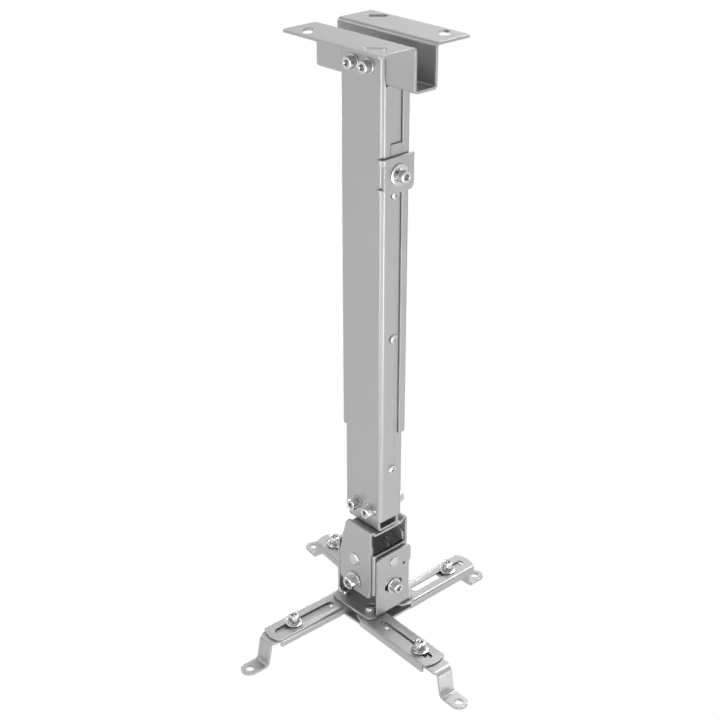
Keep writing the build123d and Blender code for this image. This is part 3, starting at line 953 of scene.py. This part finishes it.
    def cap_screws(self, node: str, facing: Facing, thread: Thread = M5) -> bpy.types.Object:
        """Makes the socket cap screws of a node.

        Args:
            node: Name of the node.
            facing: Which way the pieces point.
            thread: Their thread.

        Returns:
            The group as one object.
        """
        length, radius = self.span(node, facing)
        sizes = {
            "Head Radius": radius,
            "Head Height": thread.head_height,
            "Key Half Width": thread.key / 2,
            "Shank Radius": thread.shank / 2,
            "Shank Length": length - thread.head_height,
            "Pitch": thread.pitch,
        }
        return self.turned(node, Turned.CAP_SCREW, facing, sizes, length - thread.head_height)

    def washers(
        self, node: str, facing: Facing, thread: Thread = M5, split: bool = False
    ) -> bpy.types.Object:
        """Makes the flat or split washers of a node.

        Args:
            node: Name of the node.
            facing: Which way the pieces point.
            thread: Thread that they fit.
            split: Whether they are split spring washers.

        Returns:
            The group as one object.
        """
        height, radius = self.span(node, facing)
        bore = thread.shank / 2 * self.WASHER_EASE
        sizes = {"Outer Radius": radius, "Inner Radius": bore, "Height": height}
        kind = Turned.SPRING_WASHER if split else Turned.WASHER
        return self.turned(node, kind, facing, sizes, 0.0)

    def nuts(self, node: str, facing: Facing, thread: Thread = M5) -> bpy.types.Object:
        """Makes the hexagon nuts of a node.

        Args:
            node: Name of the node.
            facing: Which way the pieces point.
            thread: Their thread.

        Returns:
            The group as one object.
        """
        height, corner = self.span(node, facing)
        half = corner * math.cos(math.pi / 6)
        bore = thread.shank / 2 * self.BORE_EASE
        sizes = {"Half Width": half, "Bore Radius": bore, "Height": height}
        return self.turned(node, Turned.NUT, facing, sizes, 0.0)

    def rivets(
        self, node: str, facing: Facing, tail: float, head_height: float, shank: float
    ) -> bpy.types.Object:
        """Makes the pivot rivets of a node.

        Args:
            node: Name of the node.
            facing: Which way the pieces point.
            tail: Diameter of the closed tail.
            head_height: Height of the head.
            shank: Diameter of the shank.

        Returns:
            The group as one object.
        """
        length, radius = self.span(node, facing)
        sizes = {
            "Head Radius": radius,
            "Head Height": head_height,
            "Tail Radius": tail / 2,
            "Shank Radius": shank / 2,
            "Grip": length - 2 * head_height,
        }
        return self.turned(node, Turned.RIVET, facing, sizes, length - head_height, RIVET_STEEL)


@dataclass
class CeilingEnd(SubAssembly):
    """The ceiling bracket with the outer column bolted to its channel.

    Attributes:
        sheets: Nodes of the folded pieces.
    """

    sheets: tuple[str, ...] = ("ceiling_bracket", "outer_column")

    def build(self) -> None:
        """Builds the folded pieces and their bolts."""
        for node in self.sheets:
            self.sheet(node)
        self.washers("bracket_washers", Facing.OUT_Y)
        self.cap_screws("bracket_bolts", Facing.OUT_Y)
        self.nuts("bracket_nuts", Facing.IN_Y)


@dataclass
class DropColumn(SubAssembly):
    """The sliding tube with its clamp, guide screws and swivel yoke.

    Attributes:
        sheets: Nodes of the folded pieces.
        guide_shank: Diameter of the guide screws.
        guide_head: Height of their heads.
        guide_recess: Length of the cross recess.
    """

    sheets: tuple[str, ...] = ("inner_column", "slot_key", "clamp_saddle", "swivel_yoke")
    guide_shank: float = 4.0 * MM
    guide_head: float = 1.7 * MM
    guide_recess: float = 3.4 * MM

    def build(self) -> None:
        """Builds the tube, the clamp and the yoke with their fasteners."""
        for node in self.sheets:
            self.sheet(node)
        length, radius = self.span("guide_screws", Facing.OUT_X)
        sizes = {
            "Head Radius": radius,
            "Head Height": self.guide_head,
            "Recess Length": self.guide_recess,
            "Shank Radius": self.guide_shank / 2,
            "Shank Length": length - self.guide_head,
        }
        self.turned("guide_screws", Turned.PAN_SCREW, Facing.OUT_X, sizes, length - self.guide_head)
        self.washers("clamp_washer", Facing.OUT_X)
        self.washers("clamp_spring_washer", Facing.OUT_X, split=True)
        self.cap_screws("clamp_bolt", Facing.OUT_X)
        self.nuts("clamp_nut", Facing.IN_X)
        self.washers("yoke_washers", Facing.OUT_Y)
        self.washers("yoke_spring_washers", Facing.OUT_Y, split=True)
        self.cap_screws("yoke_bolts", Facing.OUT_Y)
        self.nuts("yoke_nuts", Facing.IN_Y)
        self.sheet("swivel_stud", RIVET_STEEL)
        self.washers("swivel_washer", Facing.DOWN, M6)
        self.nuts("swivel_nut", Facing.DOWN, M6)


@dataclass
class GimbalHead(SubAssembly):
    """The roll yoke, the cradle and the base bracket with their pivots and locks.

    Attributes:
        sheets: Nodes of the folded pieces.
        pivot_shank: Diameter of the pivots.
        pivot_head: Height of the pivots' heads.
        pivot_tail: Diameter of their closed tails.
    """

    sheets: tuple[str, ...] = ("roll_yoke", "cradle", "base_bracket", "bottom_plate")
    pivot_shank: float = 6.0 * MM
    pivot_head: float = 1.2 * MM
    pivot_tail: float = 8.0 * MM

    def build(self) -> None:
        """Builds the folded pieces, the pivots and the lock bolts."""
        for node in self.sheets:
            self.sheet(node)
        self.rivets("roll_rivets", Facing.OUT_Y, self.pivot_tail, self.pivot_head, self.pivot_shank)
        self.rivets("tilt_rivets", Facing.OUT_X, self.pivot_tail, self.pivot_head, self.pivot_shank)
        self.washers("roll_lock_washers", Facing.OUT_Y, M6)
        self.cap_screws("roll_lock_bolts", Facing.OUT_Y, M6)
        self.nuts("roll_lock_nuts", Facing.IN_Y, M6)
        self.washers("tilt_lock_washers", Facing.OUT_X)
        self.cap_screws("tilt_lock_bolts", Facing.OUT_X)
        self.nuts("tilt_lock_nuts", Facing.IN_X)
        self.cap_screws("corner_screws", Facing.UP)
        self.nuts("corner_nuts", Facing.DOWN)


@dataclass
class ArmAndFoot(SubAssembly):
    """One arm with its sliding foot and the foot's bolt.

    Attributes:
        side: Which arm it is.
    """

    side: str = "front"

    def build(self) -> None:
        """Builds the arm, the foot and the bolt with its washers and nut."""
        self.sheet(f"{self.side}_arm")
        self.sheet(f"{self.side}_foot")
        self.washers(f"{self.side}_foot_washer", Facing.UP)
        self.washers(f"{self.side}_foot_spring_washer", Facing.UP, split=True)
        self.cap_screws(f"{self.side}_foot_bolt", Facing.UP)
        self.nuts(f"{self.side}_foot_nut", Facing.DOWN)


@dataclass(frozen=True)
class SoftBox:
    """A studio light with a flat front.

    Attributes:
        name: Name of the light.
        place: Where it stands, in metres.
        target: What it points at.
        front: Width and height of its front.
        power: Its power in watts.
    """

    name: str
    place: tuple[float, float, float]
    target: tuple[float, float, float]
    front: tuple[float, float]
    power: float

    def build(self) -> None:
        """Adds the light to the scene."""
        data = bpy.data.lights.new(self.name, "AREA")
        data.shape = "RECTANGLE"
        data.size, data.size_y = self.front
        data.energy = self.power
        lamp = bpy.data.objects.new(self.name, data)
        lamp.location = self.place
        aim = Vector(self.target) - Vector(self.place)
        lamp.rotation_euler = aim.to_track_quat("-Z", "Y").to_euler()
        bpy.context.scene.collection.objects.link(lamp)


@dataclass
class Studio:
    """Camera, floor, soft light and the white surround.

    Attributes:
        focal_pixels: Focal length in pixels of a picture that is picture_width wide.
        picture_width: Width of the picture in pixels.
        sensor: Width of the sensor, in millimetres.
        camera_place: Where the camera stands, in metres.
        turn: Yaw, pitch and roll of the camera, in degrees.
        clip: Nearest and farthest distance that the camera shows.
        floor_drop: Distance from the lowest point of the mount to the floor.
        floor_side: Length of the floor's sides.
        floor_tone: How light the floor is where it scatters light.
        ambient: Strength of the surround on surfaces that scatter light.
        boxes: The lights.
    """

    focal_pixels: float = 1372.0
    picture_width: float = 720.0
    sensor: float = 36.0
    camera_place: tuple[float, float, float] = (0.6186, -0.5835, 0.2086)
    turn: tuple[float, float, float] = (47.34, 62.75, -0.04)
    clip: tuple[float, float] = (0.01, 50.0)
    floor_drop: float = 0.8
    floor_side: float = 12.0
    floor_tone: float = 0.8
    ambient: float = 0.02
    boxes: tuple[SoftBox, ...] = field(
        default_factory=lambda: (
            SoftBox("front_light", (-0.1, -1.4, -0.42), (0, 0, -0.3), (0.8, 0.8), 9.6),
            SoftBox("right_light", (1.36, 0.28, -0.64), (0, 0, -0.36), (0.6, 0.6), 9.9),
            SoftBox("edge_light", (0.74, -0.68, -0.72), (0, 0, -0.25), (0.07, 0.8), 2.4),
            SoftBox("left_light", (-1.3, 0.6, -0.25), (0, 0, -0.25), (0.6, 0.6), 9.0),
            SoftBox("rear_light", (-0.3, 1.05, 0.95), (0, 0, -0.25), (0.6, 0.6), 17.0),
            SoftBox("top_left_light", (-1.05, -0.7, 0.7), (0, 0, -0.25), (0.2, 0.2), 2.0),
            SoftBox("top_right_light", (0.72, 1.0, 0.78), (0, 0, -0.25), (0.2, 0.2), 1.2),
        )
    )

    def camera(self) -> None:
        """Sets the camera at the photograph's viewing angle."""
        data = bpy.data.cameras.new("viewpoint")
        data.sensor_width = self.sensor
        data.lens = self.sensor * self.focal_pixels / self.picture_width
        data.clip_start, data.clip_end = self.clip
        yaw, pitch, roll = (math.radians(a) for a in self.turn)
        level = Matrix.Rotation(yaw, 4, "Z") @ Matrix.Rotation(pitch, 4, "X")
        camera = bpy.data.objects.new("viewpoint", data)
        camera.matrix_world = Matrix.Translation(self.camera_place) @ level @ Matrix.Rotation(roll, 4, "Z")
        bpy.context.scene.collection.objects.link(camera)
        bpy.context.scene.camera = camera

    @staticmethod
    def seen(graph: Graph) -> Value:
        """One for rays from the camera, from a gloss or through glass, and nought for the rest.

        Args:
            graph: Tree to add the nodes to.

        Returns:
            The switch.
        """
        path = graph.node("ShaderNodeLightPath")
        rays = ["Is Camera Ray", "Is Glossy Ray", "Is Transmission Ray"]
        camera, gloss, glass = (Value(graph, path.outputs[name]) for name in rays)
        return graph.math("MAXIMUM", camera, graph.math("MAXIMUM", gloss, glass))

    def surround(self) -> None:
        """Sets a surround that looks white and lights gently."""
        world = bpy.data.worlds.new("white_surround")
        world.use_nodes = True
        world.node_tree.nodes.clear()
        graph = Graph(world.node_tree)
        strength = self.ambient + self.seen(graph) * (1.0 - self.ambient)
        light = graph.node("ShaderNodeBackground", inputs={"Color": (1, 1, 1, 1), "Strength": strength})
        graph.node("ShaderNodeOutputWorld", inputs={"Surface": light.outputs[0]})
        bpy.context.scene.world = world

    def floor(self) -> None:
        """Lays a plain pale floor below the hanging mount."""
        level = CAD_BOX[0].z - self.floor_drop
        half = self.floor_side / 2
        mesh = bpy.data.meshes.new("floor")
        corners = [(x * half, y * half, level) for x, y in ((-1, -1), (1, -1), (1, 1), (-1, 1))]
        mesh.from_pydata(corners, [], [(0, 1, 2, 3)])
        material = bpy.data.materials.new("pale_floor")
        material.use_nodes = True
        material.node_tree.nodes.clear()
        graph = Graph(material.node_tree)
        grey = (self.floor_tone,) * 3
        matt = graph.node("ShaderNodeBsdfDiffuse", inputs={"Color": (*grey, 1)})
        white = graph.node("ShaderNodeEmission", inputs={"Color": (1, 1, 1, 1), "Strength": 1.0})
        mixed = graph.node(
            "ShaderNodeMixShader", inputs={0: self.seen(graph), 1: matt.outputs[0], 2: white.outputs[0]}
        )
        graph.node("ShaderNodeOutputMaterial", inputs={"Surface": mixed.outputs[0]})
        mesh.materials.append(material)
        floor = bpy.data.objects.new("floor", mesh)
        bpy.context.scene.collection.objects.link(floor)

    def build(self) -> None:
        """Sets up the whole studio."""
        bpy.context.scene.view_settings.view_transform = "Standard"
        self.surround()
        self.floor()
        for box in self.boxes:
            box.build()
        self.camera()


def main() -> None:
    """Builds the mount's sub-assemblies and the studio."""
    logging.basicConfig(level=logging.INFO, format="%(name)s: %(message)s")
    assemblies: list[SubAssembly] = [CeilingEnd(), DropColumn(), GimbalHead()]
    assemblies += [ArmAndFoot(side=side) for side in ("front", "right", "back", "left")]
    for assembly in assemblies:
        assembly.build()
        LOG.info("built %s", type(assembly).__name__)
    Studio().build()


if __name__ == "__main__":
    main()
